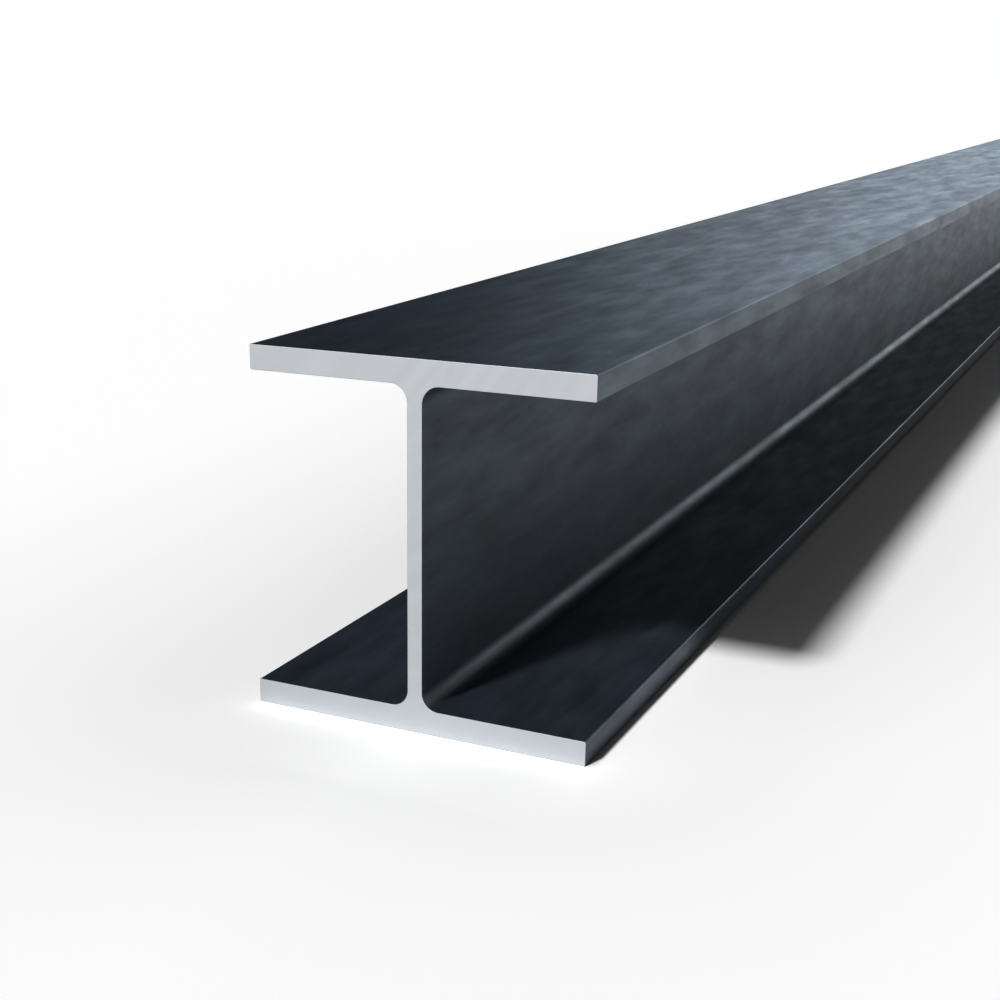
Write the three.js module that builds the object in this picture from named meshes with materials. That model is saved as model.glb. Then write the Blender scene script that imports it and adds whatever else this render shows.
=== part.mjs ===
// A bar of hot-rolled wide-flange steel I-beam, one solid, lying on its lower flange.
// Millimetres, +Z up: X runs across the flanges, Y along the bar, Z up through the web.
// The origin is on the underside of the lower flange, halfway across it and halfway along the bar.
import * as THREE from "three";

// The rolled section, the same all along the bar: serial size 305 x 305 x 137 kg/m.
const SECTION_HEIGHT = 320.5; // over the outer faces of the flanges
const FLANGE_WIDTH = 309.2;
const FLANGE_THICKNESS = 21.7; // parallel flanges, with no taper to the toe
const WEB_THICKNESS = 13.8;
const ROOT_RADIUS = 15.2; // hollow fillet where the web meets a flange
const TOE_RADIUS = 1.5; // rolled arris along each edge of a flange's toe

// The bar as it is sawn from the rolled length.
const BAR_LENGTH = 6000;
const SAW_ARRIS = 0.6; // edge round each sawn end, rounded off by deburring

// Facets on the curves.
const ARC_DIVISIONS = 6; // each quarter arc is drawn in twice this many facets
const SAW_ARRIS_FACETS = 2;

const QUARTER_TURN = Math.PI / 2;

// Adds a quarter arc round (x, y) that starts at the angle given in quarter turns from +X.
// Toes turn anticlockwise, and root fillets, which are hollow, turn clockwise.
function quarterArc(outline, x, y, radius, startQuarter, clockwise = false) {
  const start = startQuarter * QUARTER_TURN;
  const end = start + (clockwise ? -QUARTER_TURN : QUARTER_TURN);
  outline.absarc(x, y, radius, start, end, clockwise);
}

// Outline of the section in its own plane, anticlockwise, with its foot on y = 0 and x = 0 mid-web.
function sectionOutline() {
  const toeX = FLANGE_WIDTH / 2 - TOE_RADIUS;
  const rootX = WEB_THICKNESS / 2 + ROOT_RADIUS;
  const lowerInner = FLANGE_THICKNESS;
  const upperInner = SECTION_HEIGHT - FLANGE_THICKNESS;

  const outline = new THREE.Shape();
  // Lower flange, right half, from its underside round the toe to the web.
  quarterArc(outline, toeX, TOE_RADIUS, TOE_RADIUS, 3);
  quarterArc(outline, toeX, lowerInner - TOE_RADIUS, TOE_RADIUS, 0);
  quarterArc(outline, rootX, lowerInner + ROOT_RADIUS, ROOT_RADIUS, 3, true);
  // Upper flange, right half then left half.
  quarterArc(outline, rootX, upperInner - ROOT_RADIUS, ROOT_RADIUS, 2, true);
  quarterArc(outline, toeX, upperInner + TOE_RADIUS, TOE_RADIUS, 3);
  quarterArc(outline, toeX, SECTION_HEIGHT - TOE_RADIUS, TOE_RADIUS, 0);
  quarterArc(outline, -toeX, SECTION_HEIGHT - TOE_RADIUS, TOE_RADIUS, 1);
  quarterArc(outline, -toeX, upperInner + TOE_RADIUS, TOE_RADIUS, 2);
  quarterArc(outline, -rootX, upperInner - ROOT_RADIUS, ROOT_RADIUS, 1, true);
  // Lower flange, left half, from the web round the toe to its underside.
  quarterArc(outline, -rootX, lowerInner + ROOT_RADIUS, ROOT_RADIUS, 0, true);
  quarterArc(outline, -toeX, lowerInner - TOE_RADIUS, TOE_RADIUS, 1);
  quarterArc(outline, -toeX, TOE_RADIUS, TOE_RADIUS, 2);
  outline.closePath();
  return outline;
}

// The bar: the section extruded along its length, drawn in by the arris at each sawn end.
function beamGeometry() {
  return new THREE.ExtrudeGeometry(sectionOutline(), {
    depth: BAR_LENGTH - 2 * SAW_ARRIS,
    steps: 1,
    curveSegments: ARC_DIVISIONS,
    bevelEnabled: true,
    bevelThickness: SAW_ARRIS,
    bevelSize: SAW_ARRIS,
    bevelOffset: -SAW_ARRIS,
    bevelSegments: SAW_ARRIS_FACETS,
  });
}

// Blue-black mill scale, as the bar leaves the rolls.
const millScaleSteel = new THREE.MeshStandardMaterial({
  color: 0x2f3841,
  roughness: 0.42,
  metalness: 0.6,
});

const beam = new THREE.Mesh(beamGeometry(), millScaleSteel);
beam.name = "beam";
// Stands the section up in XZ, with the bar centred along Y.
beam.rotation.x = QUARTER_TURN;
beam.position.y = BAR_LENGTH / 2 - SAW_ARRIS;

const part = new THREE.Group();
part.name = "steel_i_beam";
part.add(beam);

export default part;
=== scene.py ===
"""A six-metre bar of hot-rolled wide-flange steel I-beam, lying on its lower flange.

Geometry Nodes sweep the rolled section along the bar, and each end is a saw cut.
Lengths are in millimetres where a name says so and in metres otherwise.
X runs across the flanges, Y along the bar, and Z up through the web.
"""
import math

import bpy
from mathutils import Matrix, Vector


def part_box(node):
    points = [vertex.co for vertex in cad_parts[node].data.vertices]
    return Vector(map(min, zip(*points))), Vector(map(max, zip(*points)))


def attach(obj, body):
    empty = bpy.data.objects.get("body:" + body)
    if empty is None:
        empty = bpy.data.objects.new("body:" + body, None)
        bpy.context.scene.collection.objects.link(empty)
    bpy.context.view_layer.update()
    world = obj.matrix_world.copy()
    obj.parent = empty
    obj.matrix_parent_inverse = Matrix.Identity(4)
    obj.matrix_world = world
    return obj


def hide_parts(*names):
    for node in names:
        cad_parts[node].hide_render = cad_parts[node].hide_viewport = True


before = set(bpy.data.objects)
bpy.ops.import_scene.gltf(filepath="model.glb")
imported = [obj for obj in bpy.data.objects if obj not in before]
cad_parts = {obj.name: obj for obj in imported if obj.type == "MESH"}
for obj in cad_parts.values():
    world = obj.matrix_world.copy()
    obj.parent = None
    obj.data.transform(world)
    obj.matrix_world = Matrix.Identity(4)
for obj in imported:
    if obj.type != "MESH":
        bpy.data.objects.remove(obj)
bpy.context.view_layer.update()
MM = 0.001
BEAM_LOW, BEAM_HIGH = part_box("beam")

# The bar's sizes, which are also the named inputs of the Geometry Nodes that make it.
SECTION = {
    "Section Height": BEAM_HIGH.z - BEAM_LOW.z,
    "Flange Width": BEAM_HIGH.x - BEAM_LOW.x,
    "Flange Thickness": 21.7 * MM,
    "Web Thickness": 13.8 * MM,
    "Root Radius": 15.2 * MM,
    "Toe Radius": 1.5 * MM,
    "Bar Length": BEAM_HIGH.y - BEAM_LOW.y,
}


def linear(hex_colour):
    """A colour written as an sRGB hex value, as the linear RGBA that a socket takes."""
    values = [int(hex_colour[i : i + 2], 16) / 255 for i in (1, 3, 5)]
    return [v / 12.92 if v <= 0.04045 else ((v + 0.055) / 1.055) ** 2.4 for v in values] + [1]


def add(tree, kind, *values, named=None, **settings):
    """Adds a node with its settings, and returns its first output that is in use.

    The values fill its inputs in order, and named fills them by name. A socket is linked, and
    anything else is set.
    """
    node = tree.nodes.new(kind)
    for name, value in settings.items():
        setattr(node, name, value)
    sockets = [socket for socket in node.inputs if socket.enabled]
    pairs = list(zip(sockets, values))
    for name, value in (named or {}).items():
        pairs.append((next(socket for socket in sockets if socket.name == name), value))
    for socket, value in pairs:
        if isinstance(value, bpy.types.NodeSocket):
            tree.links.new(value, socket)
        else:
            socket.default_value = value
    return next((socket for socket in node.outputs if socket.enabled), None)


def shader_tree(block):
    """The node tree of a new material or world, emptied."""
    block.use_nodes = True
    block.node_tree.nodes.clear()
    return block.node_tree


# ---- camera

CAMERA_PLACE = Vector((0.5647, BEAM_LOW.y - 1.1063, 0.5398))  # before the near sawn end
CAMERA_AZIMUTH = math.radians(26.846)  # turned to the left of the bar's length
CAMERA_TILT = math.radians(16.922)  # looking down
SENSOR_MM, LENS_MM = 36, 56.972
CAMERA_SHIFT = (0.0803, 0.0500)


def make_camera():
    data = bpy.data.cameras.new("camera")
    data.sensor_width, data.lens = SENSOR_MM, LENS_MM
    data.shift_x, data.shift_y = CAMERA_SHIFT
    camera = bpy.data.objects.new("camera", data)
    bpy.context.scene.collection.objects.link(camera)
    level = math.cos(CAMERA_TILT)
    ahead = Vector(
        (
            -math.sin(CAMERA_AZIMUTH) * level,
            math.cos(CAMERA_AZIMUTH) * level,
            -math.sin(CAMERA_TILT),
        )
    )
    camera.location = CAMERA_PLACE
    camera.rotation_mode = "QUATERNION"
    camera.rotation_quaternion = ahead.to_track_quat("-Z", "Y")
    bpy.context.scene.camera = camera


# ---- mill scale

CLOUD_ACROSS, CLOUD_ALONG = 26 * MM, 120 * MM  # of the cloudy streaks in the scale
CLOUD_SPAN = (0.3, 0.7)  # of the noise, from thin scale to thick
CLOUD_SHADE = (1.45, 0.55)  # times the colour, on thin scale and on thick
CLOUD_ROUGHNESS = (0.4, 0.53)  # on thin scale and on thick
TINT_SPREAD = 2.6  # how much wider its changes of hue are than its clouds
TINT_SPAN = (0.35, 0.65)  # of the noise, from the first tint to the second
SCALE_TINTS = ("#2b313c", "#2a3339")
# The toes' paler colour: partly scale thinned by handling, partly a painted sheen for the light they
# catch.
RUBBED_AND_SHEEN_TINT = "#49535c"
RUB_AND_SHEEN_DEPTH = 2 * MM  # how far in from the toes they are painted paler, for thinned scale and a painted sheen
ROOT_DULLING = 0.03  # added to the roughness in the roots, where the scale lies thickest
ROOT_MARGIN = 1 * MM  # keeps the inner face of each flange wholly among the places with a root
PIT_WIDTH, PIT_DEPTH = 3 * MM, 0.02 * MM  # of the dimples where flakes of scale were rolled in


def root_level(tree, aside, height):
    """How much a point lies in a root, from 0 to 1.

    Aside is its distance from the middle of the web. A root lies beside the web and next to a
    flange, on the inner side of it, and its level fades over one radius.
    """
    middle, radius = SECTION["Section Height"] / 2, SECTION["Root Radius"]
    inner_face = middle - SECTION["Flange Thickness"]
    end_on_flange = SECTION["Web Thickness"] / 2 + radius
    end_on_web = inner_face - radius
    fade = radius / 2
    off_middle = add(tree, "ShaderNodeMath", height, middle, operation="SUBTRACT")
    off_middle = add(tree, "ShaderNodeMath", off_middle, operation="ABSOLUTE")
    by_web = add(tree, "ShaderNodeMapRange", aside, end_on_flange + fade, end_on_flange - fade)
    by_flange = add(tree, "ShaderNodeMapRange", off_middle, end_on_web - fade, end_on_web + fade)
    inside = add(tree, "ShaderNodeMapRange", off_middle, middle, inner_face + ROOT_MARGIN)
    level = add(tree, "ShaderNodeMath", by_web, by_flange, operation="MULTIPLY")
    return add(tree, "ShaderNodeMath", level, inside, operation="MULTIPLY")


def mill_scale_steel():
    """Hot-rolled steel in its mill scale, the blue-black oxide that forms as the bar cools.

    Half oxide and half metal to the eye, it is near black face on and shines slate blue at a low angle,
    in soft cloudy streaks that the rolls drew out along the bar. The toes of the flanges are painted
    paler: partly scale thinned by handling, and partly a painted sheen for the brighter light that they
    catch.
    """
    material = bpy.data.materials.new("hot_rolled_steel_in_mill_scale")
    tree = shader_tree(material)
    place = add(tree, "ShaderNodeTexCoord").node.outputs["Object"]
    split = add(tree, "ShaderNodeSeparateXYZ", place).node.outputs
    aside = add(tree, "ShaderNodeMath", split["X"], operation="ABSOLUTE")
    streak = Vector((1 / CLOUD_ACROSS, 1 / CLOUD_ALONG, 1 / CLOUD_ACROSS))
    drawn_out = add(tree, "ShaderNodeMapping", place, named={"Scale": streak})
    clouds = add(
        tree,
        "ShaderNodeTexNoise",
        named={"Vector": drawn_out, "Scale": 1.0, "Detail": 7.0, "Roughness": 0.6, "Distortion": 0.15},
    )

    spread = add(tree, "ShaderNodeMapping", place, named={"Scale": streak / TINT_SPREAD})
    tints = add(tree, "ShaderNodeTexNoise", named={"Vector": spread, "Scale": 1.0, "Detail": 3.0})
    tint = add(tree, "ShaderNodeMapRange", tints, *TINT_SPAN)
    colour = add(tree, "ShaderNodeMix", tint, *map(linear, SCALE_TINTS), data_type="RGBA")
    toe = SECTION["Flange Width"] / 2
    # The toes are painted paler, for thinned scale and a painted sheen.
    rubbed_and_sheen = add(tree, "ShaderNodeMapRange", aside, toe - RUB_AND_SHEEN_DEPTH, toe)
    colour = add(tree, "ShaderNodeMix", rubbed_and_sheen, colour, linear(RUBBED_AND_SHEEN_TINT), data_type="RGBA")
    shade = add(tree, "ShaderNodeMapRange", clouds, *CLOUD_SPAN, *CLOUD_SHADE)
    colour = add(tree, "ShaderNodeVectorMath", colour, operation="SCALE", named={"Scale": shade})

    root = root_level(tree, aside, split["Z"])
    rough = add(tree, "ShaderNodeMapRange", clouds, *CLOUD_SPAN, *CLOUD_ROUGHNESS)
    rough = add(tree, "ShaderNodeMath", root, ROOT_DULLING, rough, operation="MULTIPLY_ADD")
    pits = add(tree, "ShaderNodeTexNoise", named={"Vector": place, "Scale": 1 / PIT_WIDTH, "Detail": 2.0})
    dimpled = add(tree, "ShaderNodeBump", named={"Height": pits, "Distance": PIT_DEPTH})
    shader = add(
        tree,
        "ShaderNodeBsdfPrincipled",
        named={
            "Base Color": colour,
            "Metallic": 0.35,
            "Roughness": rough,
            "Specular IOR Level": 0.25,
            "Specular Tint": linear("#d8e7f3"),
            "Normal": dimpled,
        },
    )
    add(tree, "ShaderNodeOutputMaterial", shader)
    return material


# ---- sawn steel

BLADE_CENTRE = Vector((-0.35, 0.0, 0.62))  # of the round saw, as it came through the web
BLADE_MARK = 2.4 * MM  # between the rings its teeth leave, drawn coarse enough to show
BLADE_MARK_DEPTH = 0.01 * MM
BLADE_MARK_SPAN = (0.3, 0.7)  # of the noise, from smooth to rough
SAWN_ROUGHNESS = (0.5, 0.6)
HANDLED_SPOT = 60 * MM  # size of the patches where the cut has dulled
SAWN_TONES = ("#c1c5ca", "#cfd3d7")


def sawn_steel():
    """Bare steel where the bar was cold-sawn: pale grey, and matt from faint rings of blade marks."""
    material = bpy.data.materials.new("cold_sawn_bare_steel")
    tree = shader_tree(material)
    place = add(tree, "ShaderNodeTexCoord").node.outputs["Object"]
    reach = add(tree, "ShaderNodeVectorMath", place, BLADE_CENTRE, operation="DISTANCE")
    marks = add(
        tree,
        "ShaderNodeTexNoise",
        named={"W": reach.node.outputs["Value"], "Scale": 1 / BLADE_MARK, "Detail": 2.0},
        noise_dimensions="1D",
    )
    spots = {"Vector": place, "Scale": 1 / HANDLED_SPOT, "Detail": 3.0}
    patches = add(tree, "ShaderNodeTexNoise", named=spots)
    tone = add(tree, "ShaderNodeMath", marks, patches, operation="MULTIPLY")
    colour = add(tree, "ShaderNodeMix", tone, *map(linear, SAWN_TONES), data_type="RGBA")
    ringed = add(tree, "ShaderNodeBump", named={"Height": marks, "Distance": BLADE_MARK_DEPTH})
    rough = add(tree, "ShaderNodeMapRange", marks, *BLADE_MARK_SPAN, *SAWN_ROUGHNESS)
    shader = add(
        tree,
        "ShaderNodeBsdfPrincipled",
        named={"Base Color": colour, "Metallic": 1.0, "Roughness": rough, "Normal": ringed},
    )
    add(tree, "ShaderNodeOutputMaterial", shader)
    return material


# ---- the bar

CORNERS = 12  # of the section
ARC_POINTS = 16  # on the curve at each of them
SAW_ARRIS = 0.6 * MM  # edge round each sawn end, rounded off by deburring
SAW_ARRIS_FACETS = 3
SAW_ARRIS_ANGLE = math.radians(60)  # only an edge that turns further than this is rounded
SAWN_FINISH = 1  # its place among the bar's materials, after the rolled finish


def rolled_bar_tree(rolled, sawn):
    """Geometry Nodes that sweep the rolled section along the bar and give each surface its finish."""
    tree = bpy.data.node_groups.new("rolled_bar", "GeometryNodeTree")
    tree.interface.new_socket("Geometry", in_out="OUTPUT", socket_type="NodeSocketGeometry")
    for name in SECTION:
        tree.interface.new_socket(name, in_out="INPUT", socket_type="NodeSocketFloat")
    size = tree.nodes.new("NodeGroupInput").outputs

    # The section is alike on both sides and upside down, so folding a corner's number twice
    # leaves three kinds of corner: 0 on an outer face, 1 on an inner face, and 2 at the root.
    # Whole numbers are told apart at the halves between them.
    index = add(tree, "GeometryNodeInputIndex")
    is_left = add(tree, "ShaderNodeMath", index, CORNERS / 2 - 0.5, operation="GREATER_THAN")
    from_last = add(tree, "ShaderNodeMath", CORNERS - 1, index, operation="SUBTRACT")
    rising = add(tree, "ShaderNodeMath", index, from_last, operation="MINIMUM")
    is_upper = add(tree, "ShaderNodeMath", rising, CORNERS / 4 - 0.5, operation="GREATER_THAN")
    from_last = add(tree, "ShaderNodeMath", CORNERS / 2 - 1, rising, operation="SUBTRACT")
    kind = add(tree, "ShaderNodeMath", rising, from_last, operation="MINIMUM")
    is_inner = add(tree, "ShaderNodeMath", kind, 0.5, operation="GREATER_THAN")
    is_root = add(tree, "ShaderNodeMath", kind, 1.5, operation="GREATER_THAN")

    breadth = add(tree, "ShaderNodeMix", is_root, size["Flange Width"], size["Web Thickness"])
    side = add(tree, "ShaderNodeMath", 0.5, is_left, operation="SUBTRACT")
    x = add(tree, "ShaderNodeMath", breadth, side, operation="MULTIPLY")
    depth = add(tree, "ShaderNodeMath", is_inner, size["Flange Thickness"], operation="MULTIPLY")
    below_top = add(tree, "ShaderNodeMath", size["Section Height"], depth, operation="SUBTRACT")
    z = add(tree, "ShaderNodeMix", is_upper, depth, below_top)
    upside_down = add(tree, "ShaderNodeMath", z, -1.0, operation="MULTIPLY")
    radius = add(tree, "ShaderNodeMix", is_root, size["Toe Radius"], size["Root Radius"])

    corners = add(tree, "GeometryNodeMeshCircle", CORNERS)
    corners = add(tree, "GeometryNodeStoreNamedAttribute", corners, True, "corner_radius", radius)
    spot = add(tree, "ShaderNodeCombineXYZ", x, upside_down)  # the sweep turns it upright
    corners = add(tree, "GeometryNodeSetPosition", corners, True, spot)
    outline = add(tree, "GeometryNodeMeshToCurve", corners)
    radius = add(tree, "GeometryNodeInputNamedAttribute", "corner_radius")
    outline = add(tree, "GeometryNodeFilletCurve", outline, ARC_POINTS, radius, mode="POLY")

    far_end = add(tree, "ShaderNodeMath", size["Bar Length"], 0.5, operation="MULTIPLY")
    near_end = add(tree, "ShaderNodeMath", far_end, -1.0, operation="MULTIPLY")
    start = add(tree, "ShaderNodeCombineXYZ", 0.0, near_end)
    end = add(tree, "ShaderNodeCombineXYZ", 0.0, far_end)
    path = add(tree, "GeometryNodeCurvePrimitiveLine", start, end)
    bar = add(tree, "GeometryNodeCurveToMesh", path, outline, named={"Fill Caps": True})
    bar = add(tree, "GeometryNodeFlipFaces", bar)  # the sweep leaves them facing inward
    bar = add(tree, "GeometryNodeRealizeInstances", bar)
    bar = add(tree, "GeometryNodeSetMaterial", bar, True, rolled)
    facing = add(tree, "ShaderNodeSeparateXYZ", add(tree, "GeometryNodeInputNormal"))
    along = add(tree, "ShaderNodeMath", facing.node.outputs["Y"], operation="ABSOLUTE")
    is_end = add(tree, "ShaderNodeMath", along, 0.5, operation="GREATER_THAN")
    bar = add(tree, "GeometryNodeSetMaterial", bar, is_end, sawn)
    tree.links.new(bar, tree.nodes.new("NodeGroupOutput").inputs[0])
    return tree


def make_bar(rolled, sawn):
    tree = rolled_bar_tree(rolled, sawn)
    maker = bpy.data.objects.new("bar_maker", bpy.data.meshes.new("bar_maker"))
    bpy.context.scene.collection.objects.link(maker)
    sweep = maker.modifiers.new("rolled_bar", "NODES")
    sweep.node_group = tree
    for item in tree.interface.items_tree:
        if item.in_out == "INPUT":
            sweep[item.identifier] = SECTION[item.name]
    arris = maker.modifiers.new("saw_arris", "BEVEL")
    arris.width, arris.segments = SAW_ARRIS, SAW_ARRIS_FACETS
    arris.limit_method, arris.angle_limit = "ANGLE", SAW_ARRIS_ANGLE
    arris.material = SAWN_FINISH
    maker.modifiers.new("flat_faces", "WEIGHTED_NORMAL")
    graph = bpy.context.evaluated_depsgraph_get()
    mesh = bpy.data.meshes.new_from_object(maker.evaluated_get(graph), depsgraph=graph)
    bpy.data.objects.remove(maker)
    mesh.name = "rolled_bar"
    bar = bpy.data.objects.new("rolled_bar", mesh)
    bpy.context.scene.collection.objects.link(bar)
    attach(bar, "root")
    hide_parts("beam")


# ---- floor

FLOOR_RADIUS, FLOOR_RIM_POINTS = 60, 96
FLOOR_DROP = 0.1 * MM  # keeps the floor clear of the flange that lies on it
FLOOR_GREY = "#e6e6e6"  # as the floor lights the bar
FADE_START, FADE_END = 1.5, 6.0  # from the bar's middle, where the floor whitens outward
FADE_LIFT = 0.04  # so that it meets the white surround

# Painted shade, a painted contact shadow and a painted glow in the floor's colour as it is seen, standing
# in for how the bar shades and lights the floor. Each has its reach, the way the floor leans to look for
# the bar, the span of openness that counts, and the levels at the two ends of that span.
WIDE_PAINTED_SHADE = (0.8, (0.3, 1.5, 0.5), (0.0, 1.0), (0.6, 1.37))  # painted shade before the bar and beside it
PAINTED_END_GLOW = (0.12, (-0.3, 1.0, 0.2), (1.0, 0.0), (0.0, 0.9))  # painted glow before the near sawn end, standing in for light that the sawn end throws back
PAINTED_CONTACT_SHADOW = (0.014, (-1.0, -0.6, 0.5), (0.35, 0.75), (0.35, 1.0))  # painted contact shadow along the right-hand toe
SIDE_PAINTED_SHADE = (0.8, (-0.15, -1.0, 0.15), (0.5, 0.95), (0.75, 1.0))  # painted shade along both sides


def painted_floor_shade(tree, reach, lean, span, levels):
    """A level of painted shade that follows how little of the bar stands within reach, to a floor that
    leans so.
    """
    leaning = add(tree, "ShaderNodeCombineXYZ", *Vector(lean).normalized())
    look = {"Distance": reach, "Normal": leaning}
    openness = add(tree, "ShaderNodeAmbientOcclusion", named=look, samples=16).node.outputs["AO"]
    return add(tree, "ShaderNodeMapRange", openness, *span, *levels)


def matt_floor_with_painted_shade():
    """A pale matt floor. It lights the bar as light grey card does, and looks white away from it. Near
    the bar its seen colour holds painted shade, a painted contact shadow and a painted glow.
    """
    material = bpy.data.materials.new("matt_studio_floor_painted_shade")
    tree = shader_tree(material)
    place = add(tree, "ShaderNodeTexCoord").node.outputs["Object"]
    away = add(tree, "ShaderNodeVectorMath", place, operation="LENGTH").node.outputs["Value"]
    faded = add(tree, "ShaderNodeMapRange", away, FADE_START, FADE_END, 0.0, FADE_LIFT)
    # The seen level: painted shade, plus a painted glow before the near sawn end and the outward
    # whitening, times the painted contact shadow and side shade.
    level = painted_floor_shade(tree, *WIDE_PAINTED_SHADE)
    for extra in (painted_floor_shade(tree, *PAINTED_END_GLOW), faded):
        level = add(tree, "ShaderNodeMath", level, extra, operation="ADD")
    for shade in (PAINTED_CONTACT_SHADOW, SIDE_PAINTED_SHADE):
        level = add(tree, "ShaderNodeMath", level, painted_floor_shade(tree, *shade), operation="MULTIPLY")
    pale = add(tree, "ShaderNodeCombineXYZ", level, level, level)
    rays = tree.nodes.new("ShaderNodeLightPath").outputs
    seen = rays["Is Camera Ray"]
    for ray in ("Is Glossy Ray", "Is Transmission Ray"):
        seen = add(tree, "ShaderNodeMath", seen, rays[ray], operation="MAXIMUM")
    colour = add(tree, "ShaderNodeMix", seen, linear(FLOOR_GREY), pale, data_type="RGBA")
    add(tree, "ShaderNodeOutputMaterial", add(tree, "ShaderNodeBsdfDiffuse", colour))
    return material


def make_floor():
    mesh = bpy.data.meshes.new("floor")
    turns = [2 * math.pi * i / FLOOR_RIM_POINTS for i in range(FLOOR_RIM_POINTS)]
    ring = [(FLOOR_RADIUS * math.cos(turn), FLOOR_RADIUS * math.sin(turn), -FLOOR_DROP) for turn in turns]
    mesh.from_pydata(ring, [], [range(FLOOR_RIM_POINTS)])
    mesh.materials.append(matt_floor_with_painted_shade())
    floor = bpy.data.objects.new("floor", mesh)
    bpy.context.scene.collection.objects.link(floor)


# ---- light

KEY_DIRECTION = Vector((0.341, 1.063, -1.0))  # the way the light travels
LAMPS = (("key_light", 3.10, 5.8), ("key_glow", 0.13, 26))  # name, strength and spread in degrees

# The surround goes by direction: x to the right, y along the bar and z up, each from -1 to 1.
WINDOW_LEFT = (-0.40, -0.14)  # its left edge, and the right edge of the flag
WINDOW_AHEAD = (0.6, 0.95)
FLAG_AHEAD = (0.0, 0.3)
LOW_EDGE = (0.12, 0.47)  # where the window and the paper fade out, going up
PAPER_BEHIND, PAPER_LEVELS = (-0.7, 0.1), (0.3, 1.0)  # it is dimmer behind the camera
HAZE_RIGHT, HAZE_TOP = (0.0, 0.3), (0.0, 0.15)  # it fills the window's right side and its foot
SKY_BLUE, SKY_HAZE = (2.0, 2.6, 3.2, 1), (2.85, 2.8, 2.65, 1)  # as steel mirrors the window
WINDOW_LIGHT = (1.95, 1.85, 1.75, 1)  # as the window lights what is matt
ROOM_WALLS = "#141516"


def make_key_light():
    """A far lamp behind the camera's left shoulder, with a faint wide glow round it.

    Both soften the edges of its shadows, the lamp a little and the glow farther out.
    """
    for name, strength, spread in LAMPS:
        sun = bpy.data.lights.new(name, "SUN")
        sun.energy, sun.angle = strength, math.radians(spread)
        lamp = bpy.data.objects.new(name, sun)
        lamp.rotation_mode = "QUATERNION"
        lamp.rotation_quaternion = KEY_DIRECTION.to_track_quat("-Z", "Y")
        bpy.context.scene.collection.objects.link(lamp)


def make_surround():
    """A dark room with a wide low window of sky beyond the bar, and white paper round the rest.

    The camera sees only white. Steel also mirrors the paper near the horizon, but not to the
    left beyond the bar, where a black flag keeps the near end of the upper flange dark.
    """
    world = bpy.data.worlds.new("studio")
    tree = shader_tree(world)
    rays = tree.nodes.new("ShaderNodeLightPath").outputs
    is_camera, is_glossy = rays["Is Camera Ray"], rays["Is Glossy Ray"]
    mirrored = add(tree, "ShaderNodeMath", is_glossy, rays["Is Transmission Ray"], operation="MAXIMUM")
    split = add(tree, "ShaderNodeSeparateXYZ", add(tree, "ShaderNodeTexCoord")).node.outputs
    x, y, z = split["X"], split["Y"], split["Z"]
    low = add(tree, "ShaderNodeMapRange", z, *LOW_EDGE, 1.0, 0.0)

    window = add(tree, "ShaderNodeMapRange", x, *WINDOW_LEFT)
    for level in (low, add(tree, "ShaderNodeMapRange", y, *WINDOW_AHEAD)):
        window = add(tree, "ShaderNodeMath", window, level, operation="MULTIPLY")

    left = add(tree, "ShaderNodeMapRange", x, *WINDOW_LEFT, 1.0, 0.0)
    beyond = add(tree, "ShaderNodeMapRange", y, *FLAG_AHEAD)
    flag = add(tree, "ShaderNodeMath", left, beyond, operation="MULTIPLY")
    unflagged = add(tree, "ShaderNodeMath", 1.0, flag, operation="SUBTRACT")
    paper = mirrored
    for level in (low, unflagged, add(tree, "ShaderNodeMapRange", y, *PAPER_BEHIND, *PAPER_LEVELS)):
        paper = add(tree, "ShaderNodeMath", paper, level, operation="MULTIPLY")
    paper = add(tree, "ShaderNodeMath", paper, is_camera, operation="MAXIMUM")

    right = add(tree, "ShaderNodeMapRange", x, *HAZE_RIGHT)
    near_horizon = add(tree, "ShaderNodeMapRange", z, *HAZE_TOP, 1.0, 0.0)
    haze = add(tree, "ShaderNodeMath", right, near_horizon, operation="MAXIMUM")
    sky = add(tree, "ShaderNodeMix", haze, SKY_BLUE, SKY_HAZE, data_type="RGBA")
    through = add(tree, "ShaderNodeMix", mirrored, WINDOW_LIGHT, sky, data_type="RGBA")
    room = add(tree, "ShaderNodeMix", window, linear(ROOM_WALLS), through, data_type="RGBA")
    unseen = add(tree, "ShaderNodeMath", 1.0, is_camera, operation="SUBTRACT")
    room = add(tree, "ShaderNodeVectorMath", room, operation="SCALE", named={"Scale": unseen})
    light = add(tree, "ShaderNodeVectorMath", room, paper, operation="ADD")
    add(tree, "ShaderNodeOutputWorld", add(tree, "ShaderNodeBackground", light, 1.0))
    bpy.context.scene.world = world


make_camera()
make_bar(mill_scale_steel(), sawn_steel())
make_floor()
make_key_light()
make_surround()
bpy.context.scene.view_settings.view_transform = "Standard"
